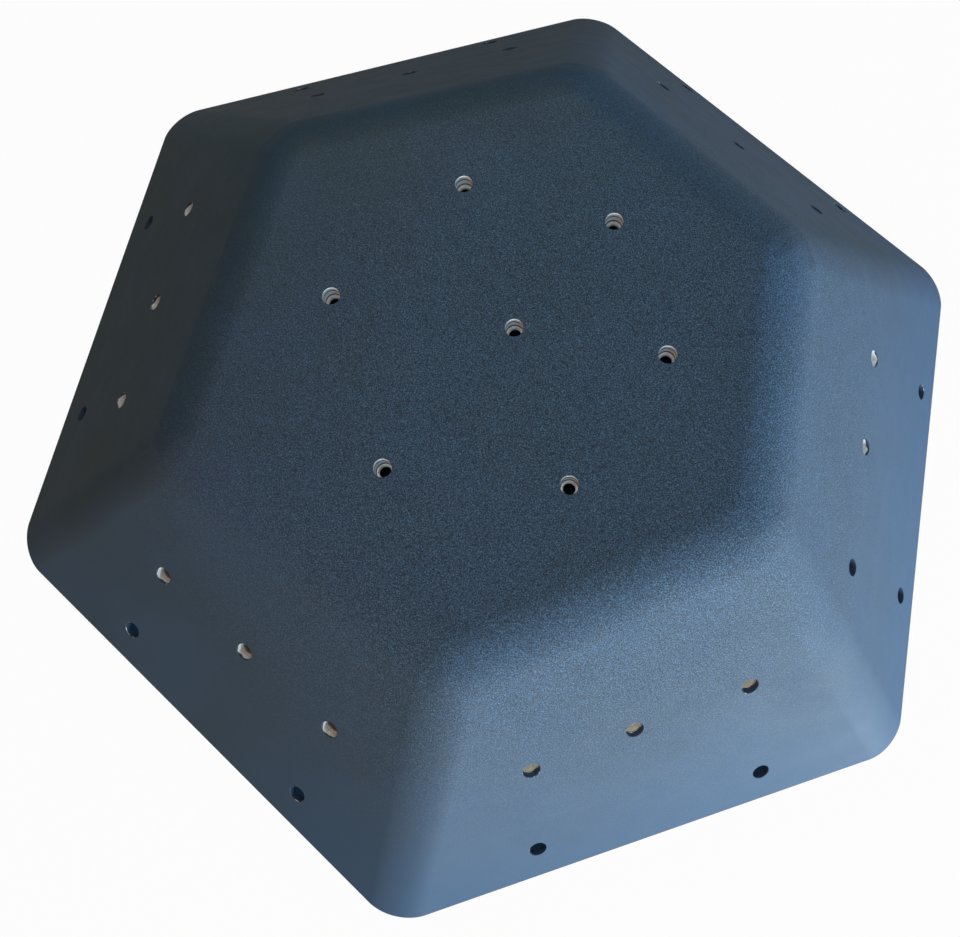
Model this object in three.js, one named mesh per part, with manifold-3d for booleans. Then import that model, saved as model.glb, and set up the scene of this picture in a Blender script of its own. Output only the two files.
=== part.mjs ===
// A moulded climbing volume: a hollow six-sided pyramid with a flat, slightly tilted top.
// Its T-nuts sit in plywood pads that are bonded behind the skin.
// Millimetres. The origin is the middle of the rim, which lies against the wall at z = 0. +Z points away
// from the wall.

import * as THREE from 'three';
import { ConvexGeometry } from 'three/addons/geometries/ConvexGeometry.js';
import { mergeVertices } from 'three/addons/utils/BufferGeometryUtils.js';
import Module from 'manifold-3d';

const wasm = await Module();
wasm.setup();

// The moulding
const rim_side = 420;
const plateau_height = 172;
const edge_radius = 60;
const skin_thickness = 5;
const flank_angle = THREE.MathUtils.degToRad(46);
const plateau_tilt = THREE.MathUtils.degToRad(7);
const plateau_rise_azimuth = THREE.MathUtils.degToRad(30);

// The holes in the skin
const nut_hole_diameter = 13;
const fixing_hole_diameter = 13;

// The plywood pads
const pad_thickness = 18;
const side_pad_height = 72;
const pad_edge_margin = 8;
const bond_gap = 0.3;

// The T-nuts
const barrel_diameter = 12;
const barrel_length = 12;
const thread_bore_diameter = 8.5;
const bore_lead_in = 0.9;
const flange_diameter = 25;
const flange_thickness = 1.6;
const prong_width = 4.4;
const prong_tip_width = 1.2;
const prong_length = 7;
const prong_inset = 0.8;
const fit_gap = 0.3;

// How far a cut runs past what it cuts
const overrun = 10;

// How finely round things are faceted
const round_sides = 14;
const rounding_steps = 6;
const prong_count = 4;

// The six flanks, going round from the one that faces +X
const flank_order = ['f', 'e', 'd', 'c', 'b', 'a'];

// Where each flank is drilled. A place is [sideways, up]: a share of half the rim's side, and a share of
// the flank's slope length at its middle. The drilling drifts a little from flank to flank.
const nut_place_shares = {
  a: [[-0.39, 0.475], [-0.015, 0.5], [0.41, 0.52]],
  b: [[-0.415, 0.49], [-0.015, 0.5], [0.385, 0.52]],
  c: [[-0.4, 0.5], [0.005, 0.49], [0.41, 0.48]],
  d: [[-0.45, 0.385], [-0.01, 0.385], [0.38, 0.38]],
  e: [[-0.405, 0.46], [0.01, 0.405], [0.41, 0.4]],
  f: [[-0.45, 0.475], [0.005, 0.48], [0.355, 0.49]],
};
const fixing_place_shares = {
  a: [[-0.43, 0.125], [0.435, 0.125]],
  b: [[-0.425, 0.15], [0.435, 0.15]],
  c: [[-0.425, 0.15], [0.435, 0.15]],
  d: [[-0.45, 0.09], [0.425, 0.115]],
  e: [[-0.45, 0.095], [0.42, 0.075]],
  f: [[-0.43, 0.1], [0.43, 0.1]],
};

// The plateau's middle T-nut is off the axis by this share of the rim's apothem. Each T-nut of the ring
// lies between it and one plateau edge, at a share of the way, counted flat across.
const middle_nut_shift_share = -0.022;
const ring_shares = { f: 0.57, e: 0.575, d: 0.605, c: 0.625, b: 0.615, a: 0.585 };

// Finishes, as the photograph shows them
const finishes = {
  moulding: { color: 0x33445a, roughness: 0.85, metalness: 0 },
  plywood: { color: 0xcdb48c, roughness: 0.8, metalness: 0 },
  zinc: { color: 0xb9bdc2, roughness: 0.35, metalness: 1 },
};

const rim_apothem = rim_side / 2 / Math.tan(Math.PI / flank_order.length);

// Planes of the sharp, unrounded outer form

function azimuth_of(flank) {
  return flank_order.indexOf(flank) * 2 * Math.PI / flank_order.length;
}

function flank_normal(flank) {
  const azimuth = azimuth_of(flank);
  const flat = Math.sin(flank_angle);
  return new THREE.Vector3(flat * Math.cos(azimuth), flat * Math.sin(azimuth), Math.cos(flank_angle));
}

function outward(flank) {
  const azimuth = azimuth_of(flank);
  return new THREE.Vector3(Math.cos(azimuth), Math.sin(azimuth), 0);
}

function flank_plane(flank, depth) {
  const normal = flank_normal(flank);
  const rim_point = outward(flank).multiplyScalar(rim_apothem).addScaledVector(normal, -depth);
  return new THREE.Plane().setFromNormalAndCoplanarPoint(normal, rim_point);
}

function plateau_normal() {
  const lean = -Math.sin(plateau_tilt);
  const x = lean * Math.cos(plateau_rise_azimuth);
  const y = lean * Math.sin(plateau_rise_azimuth);
  return new THREE.Vector3(x, y, Math.cos(plateau_tilt));
}

function plateau_plane(depth) {
  const normal = plateau_normal();
  const top_point = new THREE.Vector3(0, 0, plateau_height).addScaledVector(normal, -depth);
  return new THREE.Plane().setFromNormalAndCoplanarPoint(normal, top_point);
}

function meeting_point(first, second, third) {
  const across = new THREE.Matrix3();
  const rows = [first.normal, second.normal, third.normal];
  across.set(...rows[0].toArray(), ...rows[1].toArray(), ...rows[2].toArray());
  return new THREE.Vector3(-first.constant, -second.constant, -third.constant).applyMatrix3(across.invert());
}

// Solids from three.js shapes

function solid_of(geometry) {
  const bare = geometry.clone();
  bare.deleteAttribute('normal');
  bare.deleteAttribute('uv');
  const joined = mergeVertices(bare);
  const mesh = new wasm.Mesh({
    numProp: 3,
    vertProperties: new Float32Array(joined.getAttribute('position').array),
    triVerts: new Uint32Array(joined.index.array),
  });
  return new wasm.Manifold(mesh);
}

function geometry_of(solid) {
  const mesh = solid.getMesh();
  const geometry = new THREE.BufferGeometry();
  geometry.setAttribute('position', new THREE.BufferAttribute(new Float32Array(mesh.vertProperties), 3));
  geometry.setIndex(new THREE.BufferAttribute(new Uint32Array(mesh.triVerts), 1));
  geometry.computeVertexNormals();
  return geometry;
}

// A round cutter along z, from z = low to z = high
function drill(diameter, low, high, x, y) {
  const cutter = new THREE.CylinderGeometry(diameter / 2, diameter / 2, high - low, round_sides);
  cutter.rotateX(Math.PI / 2);
  cutter.translate(x, y, (low + high) / 2);
  return cutter;
}

function named_mesh(name, geometry, finish) {
  const material = new THREE.MeshStandardMaterial({ ...finishes[finish], flatShading: true });
  const mesh = new THREE.Mesh(geometry, material);
  mesh.name = name;
  return mesh;
}

// Frames on the outer faces. In each, z points out of the face and z = 0 is the face itself.

function flank_frame(flank) {
  const frame = new THREE.Group();
  const sideways = new THREE.Vector3(0, 0, 1).cross(outward(flank));
  const normal = flank_normal(flank);
  const up = new THREE.Vector3().crossVectors(normal, sideways);
  frame.quaternion.setFromRotationMatrix(new THREE.Matrix4().makeBasis(sideways, up, normal));
  frame.position.copy(outward(flank).multiplyScalar(rim_apothem));
  frame.updateMatrix();
  return frame;
}

function plateau_frame() {
  const frame = new THREE.Group();
  frame.quaternion.setFromUnitVectors(new THREE.Vector3(0, 0, 1), plateau_normal());
  frame.position.set(0, 0, plateau_height);
  frame.updateMatrix();
  return frame;
}

// Places on the faces

// From the rim to the plateau's sharp edge, up the middle of a flank
function slope_length(flank) {
  const frame = flank_frame(flank);
  const up = new THREE.Vector3(0, 1, 0).applyQuaternion(frame.quaternion);
  const plane = plateau_plane(0);
  return -plane.distanceToPoint(frame.position) / plane.normal.dot(up);
}

function flank_places(flank, place_shares) {
  const length = slope_length(flank);
  return place_shares.map(([side_share, up_share]) => (
    new THREE.Vector2(side_share * rim_side / 2, up_share * length)
  ));
}

function on_plateau(x, y) {
  const upright = new THREE.Ray(new THREE.Vector3(x, y, 0), new THREE.Vector3(0, 0, 1));
  return upright.intersectPlane(plateau_plane(0), new THREE.Vector3());
}

function plateau_places(frame) {
  const middle = on_plateau(middle_nut_shift_share * rim_apothem, 0);
  const points = flank_order.map((flank) => {
    const edge = flank_plane(flank, 0);
    const run = outward(flank);
    const ahead = on_plateau(middle.x + run.x, middle.y + run.y).sub(middle);
    const way = -edge.distanceToPoint(middle) / edge.normal.dot(ahead);
    return middle.clone().addScaledVector(ahead, ring_shares[flank] * way);
  });
  const to_face = frame.matrix.clone().invert();
  return [...points, middle].map((point) => {
    const place = point.clone().applyMatrix4(to_face);
    return new THREE.Vector2(place.x, place.y);
  });
}

// The rounded form is the hull of balls rolled along the inside of its corners. The inner form has the
// same ball centres, so the skin has one thickness everywhere, round the edges too.

function ball_centres() {
  const floor_depth = edge_radius + overrun;
  const floor = new THREE.Plane(new THREE.Vector3(0, 0, 1), floor_depth);
  return flank_order.map((flank, index) => {
    const next = flank_order[(index + 1) % flank_order.length];
    const sides = [flank_plane(flank, edge_radius), flank_plane(next, edge_radius)];
    return {
      flanks: [flank, next],
      normals: [plateau_normal(), flank_normal(flank), flank_normal(next)],
      top: meeting_point(plateau_plane(edge_radius), ...sides),
      foot: meeting_point(floor, ...sides),
    };
  });
}

function rounded_form(radius) {
  const points = [];
  for (const { normals, top, foot } of ball_centres()) {
    for (let i = 0; i <= rounding_steps; i += 1) {
      for (let j = 0; j <= rounding_steps - i; j += 1) {
        const ahead = normals[0].clone().multiplyScalar(i);
        ahead.addScaledVector(normals[1], j);
        ahead.addScaledVector(normals[2], rounding_steps - i - j);
        ahead.setLength(radius);
        points.push(top.clone().add(ahead));
        if (i === 0) {
          points.push(foot.clone().add(ahead));
        }
      }
    }
  }
  return new ConvexGeometry(points);
}

// The moulded shell

function drilled_skin(skin, frame, places, diameter) {
  return places.reduce((left, place) => {
    const cutter = drill(diameter, -skin_thickness - overrun, overrun, place.x, place.y);
    return left.subtract(solid_of(cutter.applyMatrix4(frame.matrix)));
  }, skin);
}

function moulded_shell() {
  const outer = solid_of(rounded_form(edge_radius));
  const inner = solid_of(rounded_form(edge_radius - skin_thickness));
  const depth = 2 * (edge_radius + overrun);
  const width = 2 * (rim_side + depth);
  const below = new THREE.BoxGeometry(width, width, depth).translate(0, 0, -depth / 2);
  let skin = outer.subtract(inner).subtract(solid_of(below));
  for (const flank of flank_order) {
    const frame = flank_frame(flank);
    skin = drilled_skin(skin, frame, flank_places(flank, nut_place_shares[flank]), nut_hole_diameter);
    skin = drilled_skin(skin, frame, flank_places(flank, fixing_place_shares[flank]), fixing_hole_diameter);
  }
  const top = plateau_frame();
  skin = drilled_skin(skin, top, plateau_places(top), nut_hole_diameter);
  return named_mesh('moulded_shell', geometry_of(skin), 'moulding');
}

// The T-nuts. In a T-nut's own frame z = 0 is the flange's front face, and the barrel points up z.

// One prong, or with a clearance the socket that it takes in the wood
function prong_solid(angle, clearance) {
  const foot_half = prong_width / 2 + clearance;
  const tip_half = prong_tip_width / 2 + clearance;
  const foot = clearance > 0 ? -overrun : -flange_thickness;
  const tip = prong_length + clearance;
  const outline = new THREE.Shape([
    new THREE.Vector2(-foot_half, foot),
    new THREE.Vector2(foot_half, foot),
    new THREE.Vector2(foot_half, 0),
    new THREE.Vector2(tip_half, tip),
    new THREE.Vector2(-tip_half, tip),
    new THREE.Vector2(-foot_half, 0),
  ]);
  const depth = flange_thickness + 2 * clearance;
  const outer_face = flange_diameter / 2 - prong_inset + clearance;
  const blade = new THREE.ExtrudeGeometry(outline, { depth, bevelEnabled: false });
  blade.rotateX(Math.PI / 2);
  blade.translate(0, outer_face, 0);
  blade.rotateZ(angle);
  return blade;
}

function prong_angles() {
  return Array.from({ length: prong_count }, (_, index) => (index + 0.5) * 2 * Math.PI / prong_count);
}

function tnut_geometry() {
  const bore = thread_bore_diameter / 2;
  const barrel = barrel_diameter / 2;
  const flange = flange_diameter / 2;
  const profile = [
    new THREE.Vector2(bore, -flange_thickness),
    new THREE.Vector2(flange, -flange_thickness),
    new THREE.Vector2(flange, 0),
    new THREE.Vector2(barrel, 0),
    new THREE.Vector2(barrel, barrel_length),
    new THREE.Vector2(bore + bore_lead_in, barrel_length),
    new THREE.Vector2(bore, barrel_length - bore_lead_in),
    new THREE.Vector2(bore, -flange_thickness),
  ];
  const turned = new THREE.LatheGeometry(profile, round_sides).rotateX(Math.PI / 2);
  const body = prong_angles().reduce(
    (left, angle) => left.add(solid_of(prong_solid(angle, 0))),
    solid_of(turned),
  );
  return geometry_of(body);
}

const tnut_form = tnut_geometry();
const pad_back_depth = skin_thickness + bond_gap + pad_thickness;

function tnut_mesh(name, place) {
  const mesh = named_mesh(name, tnut_form, 'zinc');
  mesh.position.set(place.x, place.y, -pad_back_depth - fit_gap);
  return mesh;
}

// The plywood pads, in the frame of the face that they back

function drilled_pad(name, corners, places) {
  const board = new THREE.ExtrudeGeometry(new THREE.Shape(corners), { depth: pad_thickness, bevelEnabled: false });
  board.translate(0, 0, -pad_back_depth);
  let pad = solid_of(board);
  const bore = barrel_diameter + 2 * fit_gap;
  for (const { x, y } of places) {
    pad = pad.subtract(solid_of(drill(bore, -pad_back_depth - overrun, overrun, x, y)));
    for (const angle of prong_angles()) {
      const socket = prong_solid(angle, fit_gap).translate(x, y, -pad_back_depth - fit_gap);
      pad = pad.subtract(solid_of(socket));
    }
  }
  return named_mesh(name, geometry_of(pad), 'plywood');
}

// The plateau's flat room is the outline of its ball centres. The pad keeps a margin inside it.
function top_pad_corners(frame) {
  const to_face = frame.matrix.clone().invert();
  const room = ball_centres().map(({ top }) => top.clone().applyMatrix4(to_face));
  return room.map((corner, index) => {
    const before = room[(index + room.length - 1) % room.length].clone().sub(corner).normalize();
    const after = room[(index + 1) % room.length].clone().sub(corner).normalize();
    const turn = Math.sqrt((1 - before.dot(after)) / 2);
    const inward = before.add(after).setLength(pad_edge_margin / turn).add(corner);
    return new THREE.Vector2(inward.x, inward.y);
  });
}

// A flank's flat room narrows up the slope, between the roundings of its two hips.
function side_pad_corners(flank) {
  const frame = flank_frame(flank);
  const to_face = frame.matrix.clone().invert();
  const room = ball_centres().filter(({ flanks }) => flanks.includes(flank));
  const heights = flank_places(flank, nut_place_shares[flank]).map((place) => place.y);
  const row = (Math.min(...heights) + Math.max(...heights)) / 2;
  const ends = [row - side_pad_height / 2, row + side_pad_height / 2];
  const edges = room.map(({ top, foot }) => {
    const high = top.clone().applyMatrix4(to_face);
    const low = foot.clone().applyMatrix4(to_face);
    return ends.map((height) => {
      const point = low.clone().lerp(high, (height - low.y) / (high.y - low.y));
      return new THREE.Vector2(point.x - Math.sign(point.x) * pad_edge_margin, height);
    });
  });
  const [left, right] = edges.sort((one, other) => one[0].x - other[0].x);
  return [left[0], right[0], right[1], left[1]];
}

// The whole volume

const volume = new THREE.Group();
volume.name = 'climbing_volume';
volume.add(moulded_shell());

const top_group = plateau_frame();
const top_places = plateau_places(top_group);
top_group.add(drilled_pad('backing_pad_top', top_pad_corners(top_group), top_places));
top_places.forEach((place, index) => {
  const label = index < flank_order.length ? index + 1 : 'middle';
  top_group.add(tnut_mesh(`tnut_top_${label}`, place));
});
volume.add(top_group);

for (const flank of flank_order) {
  const side_group = flank_frame(flank);
  const places = flank_places(flank, nut_place_shares[flank]);
  side_group.add(drilled_pad(`backing_pad_side_${flank}`, side_pad_corners(flank), places));
  places.forEach((place, index) => {
    side_group.add(tnut_mesh(`tnut_side_${flank}_${index + 1}`, place));
  });
  volume.add(side_group);
}

export default volume;
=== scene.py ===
"""A moulded climbing volume on a pale studio floor.

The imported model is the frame. The skin, the plywood pads behind it and the T-nuts in the pads are modelled
here in full detail and stand for the frame's nodes. Everything is in metres, with the rim on z = 0.
"""
import logging
import math
from dataclasses import dataclass, field
from enum import Enum
from functools import partialmethod
from typing import Callable, Union

import bpy
from mathutils import Matrix, Vector


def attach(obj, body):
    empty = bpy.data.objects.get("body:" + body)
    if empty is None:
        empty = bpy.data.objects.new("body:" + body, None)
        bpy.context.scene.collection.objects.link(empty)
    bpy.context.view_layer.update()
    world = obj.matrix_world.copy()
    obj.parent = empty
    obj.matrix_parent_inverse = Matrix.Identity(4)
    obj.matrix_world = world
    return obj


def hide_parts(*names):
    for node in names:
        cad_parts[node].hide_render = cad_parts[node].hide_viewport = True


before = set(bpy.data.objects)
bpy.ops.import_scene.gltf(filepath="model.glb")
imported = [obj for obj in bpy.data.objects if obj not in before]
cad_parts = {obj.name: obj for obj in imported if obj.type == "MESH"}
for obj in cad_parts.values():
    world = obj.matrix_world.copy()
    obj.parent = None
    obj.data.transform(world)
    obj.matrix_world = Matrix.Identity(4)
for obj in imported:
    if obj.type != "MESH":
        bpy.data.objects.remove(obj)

LOG = logging.getLogger("climbing_volume")
MM = 0.001
UP = Vector((0, 0, 1))
ORIGIN = Vector((0, 0, 0))
Piece = bpy.types.Object
Material = bpy.types.Material
Colour = tuple[float, float, float, float]
Triple = tuple[float, float, float]
Span = tuple[float, float]
Input = Union["Value", float, tuple, Vector]


# Shader graphs written as expressions


class Value:
    """A shader socket that takes part in Python arithmetic."""

    def __init__(self, graph: "Graph", socket: bpy.types.NodeSocket) -> None:
        """Wraps an output socket of one of the graph's nodes."""
        self.graph = graph
        self.socket = socket

    def math(self, operation: str, *others: Input) -> "Value":
        """Returns the result of a Math node that takes this value first."""
        return self.graph.maths(operation, self, *others)

    __add__ = __radd__ = partialmethod(math, "ADD")
    __sub__ = partialmethod(math, "SUBTRACT")
    __mul__ = partialmethod(math, "MULTIPLY")
    __truediv__ = partialmethod(math, "DIVIDE")

    def __rsub__(self, other: float) -> "Value":
        """Returns a number minus this value."""
        return self.graph.maths("SUBTRACT", other, self)


class Graph:
    """The node graph of one material, or of the world."""

    def __init__(self, owner: Material | bpy.types.World) -> None:
        """Empties a graph.

        Args:
            owner: the material or the world that the graph is in.
        """
        self.owner = owner
        self.owner.use_nodes = True
        self.tree = self.owner.node_tree
        self.tree.nodes.clear()

    @classmethod
    def material(cls, name: str) -> "Graph":
        """Returns the graph of a new material."""
        return cls(bpy.data.materials.new(name))

    def node(self, kind: str, inputs: dict, **settings: object) -> bpy.types.Node:
        """Adds a node.

        Args:
            kind: the node's type.
            inputs: values or links, by socket name or number.
            settings: the node's properties, which are set first.

        Returns:
            The node.
        """
        made = self.tree.nodes.new(kind)
        for name, setting in settings.items():
            setattr(made, name, setting)
        for name, value in inputs.items():
            if isinstance(value, Value):
                self.tree.links.new(value.socket, made.inputs[name])
            else:
                made.inputs[name].default_value = value
        return made

    def value(self, kind: str, output: str | int, inputs: dict, **settings: object) -> Value:
        """Adds a node and returns one of its outputs, by name or number."""
        return Value(self, self.node(kind, inputs, **settings).outputs[output])

    def maths(self, operation: str, *values: Input) -> Value:
        """Returns the result of a Math node on these values."""
        return self.value("ShaderNodeMath", 0, dict(enumerate(values)), operation=operation)

    def place(self) -> Value:
        """Returns the point on the piece, in Object coordinates."""
        return self.value("ShaderNodeTexCoord", "Object", {})

    def attribute(self, name: str) -> Value:
        """Returns a vector that the piece's mesh carries."""
        return self.value("ShaderNodeAttribute", "Vector", {}, attribute_name=name)

    def part(self, vector: Value, axis: str) -> Value:
        """Returns one coordinate of a vector."""
        return self.value("ShaderNodeSeparateXYZ", axis, {"Vector": vector})

    def measure(self, operation: str, *vectors: Input) -> Value:
        """Returns the number that a Vector Math node makes of these vectors."""
        return self.value("ShaderNodeVectorMath", "Value", dict(enumerate(vectors)), operation=operation)

    def stretch(self, vector: Value, scale: Triple) -> Value:
        """Returns a vector with its three coordinates scaled."""
        return self.value("ShaderNodeVectorMath", 0, {0: vector, 1: scale}, operation="MULTIPLY")

    def noise(self, vector: Value, size: float, detail: float, rough: float) -> Value:
        """Returns noise around 0.5. Its blots are "size" metres wide, with "detail" finer layers on them."""
        inputs = {"Vector": vector, "Scale": 1.0 / size, "Detail": detail, "Roughness": rough}
        return self.value("ShaderNodeTexNoise", 0, inputs)

    def ramp(self, value: Value, low: float, high: float, smooth: bool = True) -> Value:
        """Adds a rise from 0 to 1.

        Args:
            value: what it follows.
            low: where it is 0.
            high: where it is 1.
            smooth: whether its ends are eased.

        Returns:
            The rise, between 0 and 1.
        """
        inputs = {"Value": value, "From Min": low, "From Max": high, "To Min": 0.0, "To Max": 1.0}
        ends = "SMOOTHSTEP" if smooth else "LINEAR"
        return self.value("ShaderNodeMapRange", 0, inputs, interpolation_type=ends)

    def blend(self, mask: Input, low: Input, high: Input) -> Value:
        """Returns a mix of two colours: the first where the mask is 0, the second where it is 1."""
        return self.value("ShaderNodeMix", 2, {0: mask, 6: low, 7: high}, data_type="RGBA")

    def relief(self, height: Value, depth: float, strength: float, below: Value | None = None) -> Value:
        """Adds bumps.

        Args:
            height: the surface's height, from 0 to 1.
            depth: how high 1 is, in metres.
            strength: how much of it shows.
            below: the bumpy normal of a coarser relief that lies below.

        Returns:
            The bumpy normal.
        """
        inputs = {"Height": height, "Distance": depth, "Strength": strength}
        if below is not None:
            inputs["Normal"] = below
        return self.value("ShaderNodeBump", 0, inputs)

    def seen(self) -> Value:
        """Returns 1 for the camera's own rays and 0 for all others."""
        return self.value("ShaderNodeLightPath", "Is Camera Ray", {})

    def split(self, output: str, mask: Value, unseen: Value, shown: Value) -> None:
        """Closes the graph with one shader for the light and one for the camera, mixed by a mask."""
        mixed = self.value("ShaderNodeMixShader", 0, {0: mask, 1: unseen, 2: shown})
        self.node(output, {0: mixed})

    def finish(self, **inputs: Input) -> Material:
        """Closes the graph with a Principled shader.

        Args:
            inputs: the shader's sockets, with underscores for spaces.

        Returns:
            The finished material.
        """
        named = {name.replace("_", " "): value for name, value in inputs.items()}
        shader = self.value("ShaderNodeBsdfPrincipled", 0, named)
        self.node("ShaderNodeOutputMaterial", {0: shader})
        return self.owner


def paint(*screen: int) -> Colour:
    """Turns a screen colour into the renderer's linear one.

    Args:
        screen: red, green and blue, each from 0 to 255.

    Returns:
        The linear colour.
    """
    shares = [channel / 255 for channel in screen]
    linear = [s / 12.92 if s <= 0.04045 else ((s + 0.055) / 1.055) ** 2.4 for s in shares]
    return (*linear, 1.0)


# Finishes


@dataclass(frozen=True)
class SandyCoat:
    """The dark navy coat with sand in it, thickest on the plateau and thinning out towards the rim."""

    ground: Colour = paint(29, 55, 76)
    smooth_ground: Colour = paint(31, 59, 85)
    # The next colour is a bluer coat low on flanks A and F: partly the paint's own tone, partly painted light
    # from the window side.
    rim_ground_and_painted_light: Colour = paint(25, 61, 92)
    shade: Colour = paint(8, 19, 28)
    light_grain: Colour = paint(71, 107, 142)
    # Pale specks painted into the base colour as sparkle highlights.
    glint: Colour = paint(135, 150, 164)
    dust: Colour = paint(250, 240, 225)
    grain: float = 0.9 * MM
    thickest_at: Triple = (0.055, -0.06, 0.17)
    thick_within: float = 115 * MM
    thin_beyond: float = 415 * MM
    sandless_below: float = 20 * MM
    sandy_above: float = 125 * MM
    blue_below: float = 100 * MM
    blue_way: Triple = (0.87, -0.5, 0.0)
    blue_reach: float = 200 * MM
    sand_relief: float = 0.5 * MM
    drift_size: float = 60 * MM
    cloud_size: float = 90 * MM
    wipe_size: float = 34 * MM
    swell_size: float = 14 * MM
    swell_relief: float = 0.25 * MM
    drift_across: float = 80 * MM
    drift_up: float = 60 * MM
    least_sand: float = 0.5
    dark_grit: Span = (0.51, 0.38)
    light_grit: Span = (0.5, 0.64)
    glint_core: Span = (0.3, 0.12)
    glint_lots: Span = (0.97, 0.99)
    roughness: float = 0.62

    def build(self) -> Material:
        """Returns the material."""
        graph = Graph.material("sandy_navy_coat")
        point = graph.place()
        drift = graph.noise(point, self.drift_size, 3.0, 0.6) - 0.5
        away = graph.measure("DISTANCE", point, self.thickest_at)
        near = graph.ramp(away + drift * self.drift_across, self.thin_beyond, self.thick_within)
        height = graph.part(point, "Z") + drift * self.drift_up
        upper = graph.ramp(height, self.sandless_below, self.sandy_above)
        sand = near * (upper * (1.0 - self.least_sand) + self.least_sand)
        coarse = graph.noise(point, self.grain, 2.0, 0.65)
        fine = graph.noise(point, self.grain * 0.45, 1.0, 0.5)
        grit = coarse * 0.65 + fine * 0.35
        dark = graph.ramp(grit, *self.dark_grit)
        light = graph.ramp(grit, *self.light_grit)
        cells = graph.node("ShaderNodeTexVoronoi", {"Vector": point, "Scale": 1.0 / (self.grain * 1.6)})
        cell = Value(graph, cells.outputs["Position"])
        lot = graph.value("ShaderNodeTexWhiteNoise", 0, {"Vector": cell}, noise_dimensions="3D")
        core = graph.ramp(Value(graph, cells.outputs["Distance"]), *self.glint_core)
        glint = graph.ramp(lot, *self.glint_lots, smooth=False) * core * sand
        cloud = graph.noise(point, self.cloud_size, 2.0, 0.5)
        ground = graph.blend(graph.ramp(cloud, 0.35, 0.7), self.ground, self.smooth_ground)
        # Low down on the side towards blue_way (flanks A and F) the coat turns bluer: partly the paint's
        # tone, partly painted window light.
        low = graph.ramp(height, self.blue_below, 0.0)
        bluer = low * graph.ramp(graph.measure("DOT_PRODUCT", point, self.blue_way), 0.0, self.blue_reach)
        ground = graph.blend(bluer, ground, self.rim_ground_and_painted_light)
        colour = graph.blend(dark * sand, ground, self.shade)
        colour = graph.blend(light * sand, colour, self.light_grain)
        # The glint colour paints sparkle highlights into the base colour; the glints' lower roughness and
        # raised bump are the surface's own.
        colour = graph.blend(glint * 0.5, colour, self.glint)
        wipe = graph.noise(graph.stretch(point, (1.0, 1.0, 2.2)), self.wipe_size, 3.0, 0.7)
        rough = self.roughness + (wipe - 0.5) * 0.16 - glint * 0.35 - (1.0 - sand) * 0.1
        soft = graph.relief(graph.noise(point, self.swell_size, 1.0, 0.4), self.swell_relief, 0.5)
        bumps = graph.relief(grit * sand + glint * 0.3, self.sand_relief, 0.8, soft)
        return graph.finish(Base_Color=colour, Roughness=rough, Normal=bumps, Specular_IOR_Level=0.35,
                            Sheen_Weight=0.02, Sheen_Roughness=0.6, Sheen_Tint=self.dust)


@dataclass(frozen=True)
class RawLaminate:
    """The inside of the skin: glass mat wetted out with dark resin."""

    resin: Colour = paint(46, 50, 54)
    strand: Colour = paint(96, 100, 100)
    puddle: Colour = paint(30, 33, 36)
    strand_width: float = 1.1 * MM
    bend: float = 30 * MM
    pool_size: float = 45 * MM
    relief: float = 0.9 * MM

    def build(self) -> Material:
        """Returns the material."""
        graph = Graph.material("raw_glass_laminate")
        point = graph.place()
        bent = graph.noise(point, self.bend, 2.0, 0.6) * 0.05
        one = graph.noise(graph.stretch(point, (0.12, 1.0, 1.0)) + bent, self.strand_width, 1.0, 0.4)
        two = graph.noise(graph.stretch(point, (1.0, 0.14, 1.0)) + bent, self.strand_width, 1.0, 0.4)
        strands = graph.ramp(one.math("MAXIMUM", two), 0.56, 0.72)
        pool = graph.noise(point, self.pool_size, 3.0, 0.6)
        colour = graph.blend(strands * 0.6, self.resin, self.strand)
        colour = graph.blend(graph.ramp(pool, 0.55, 0.75) * 0.35, colour, self.puddle)
        bumps = graph.relief(strands * 0.6 + pool * 0.8, self.relief, 0.7)
        return graph.finish(Base_Color=colour, Roughness=0.42 + pool * 0.25, Normal=bumps)


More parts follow.
